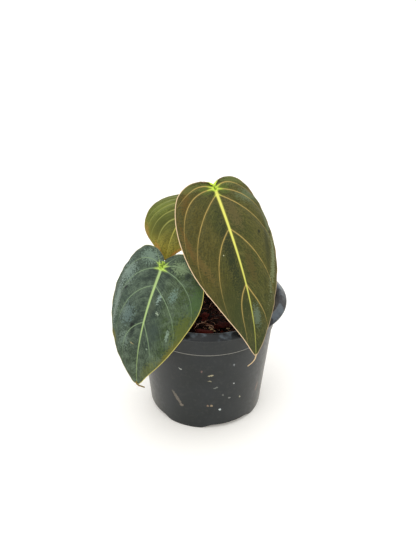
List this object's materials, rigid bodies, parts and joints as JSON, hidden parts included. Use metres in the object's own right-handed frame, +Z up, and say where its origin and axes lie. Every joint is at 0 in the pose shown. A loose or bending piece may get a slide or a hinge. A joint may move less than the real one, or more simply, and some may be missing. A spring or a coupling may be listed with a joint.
{
  "type": "potted philodendron",
  "caption": "Young velvet-leaved philodendron with drooping heart-shaped leaves, growing in coco husk in a dark plastic nursery pot.",
  "frame": {"origin": "centre of the pot's base pad, on the surface that the pot stands on", "axes": "+Z up along the pot's axis; the leaves lean out over the rim on the -Y side, which is the front; +X is to the right seen from the front"},
  "size_m": [0.1281, 0.1228, 0.1859],
  "materials": {
    "pot_plastic": "semi-matt moulded plastic, scuffed",
    "coco_husk": "damp, crumbly and fibrous",
    "coco_chip": "fibrous, rough cut",
    "coir_fibre": "dry fibre",
    "stem_bark": "smooth green bark, ringed",
    "shoot_sheath": "thin dry sheath",
    "root_tissue": "matt and slightly woolly",
    "petiole_green": "smooth, fine grooves",
    "leaf_front": "velvet with raised pale veins",
    "leaf_left": "velvet with raised pale veins",
    "leaf_back": "young velvet with raised pale veins"
  },
  "bodies": {
    "root": {"nursery_pot": "pot_plastic", "growing_medium": "coco_husk", "coco_chip_01": "coco_chip", "coco_chip_02": "coco_chip", "coco_chip_03": "coco_chip", "coco_chip_04": "coco_chip", "coco_chip_05": "coco_chip", "coco_chip_06": "coco_chip", "coco_chip_07": "coco_chip", "coco_chip_08": "coco_chip", "coco_chip_09": "coco_chip", "coco_chip_10": "coco_chip", "coco_chip_11": "coco_chip", "coco_chip_12": "coco_chip", "coco_chip_13": "coco_chip", "coco_chip_14": "coco_chip", "coco_chip_15": "coco_chip", "coco_chip_16": "coco_chip", "coco_chip_17": "coco_chip", "coco_chip_18": "coco_chip", "coir_fibre_1": "coir_fibre", "coir_fibre_2": "coir_fibre", "stem": "stem_bark", "shoot_tip": "shoot_sheath", "root_1": "root_tissue", "root_2": "root_tissue", "root_3": "root_tissue", "root_4": "root_tissue", "root_5": "root_tissue", "root_6": "root_tissue", "petiole_front": "petiole_green", "petiole_left": "petiole_green", "petiole_back": "petiole_green", "leaf_front": "leaf_front", "leaf_left": "leaf_left", "leaf_back": "leaf_back"}
  },
  "joints": []
}
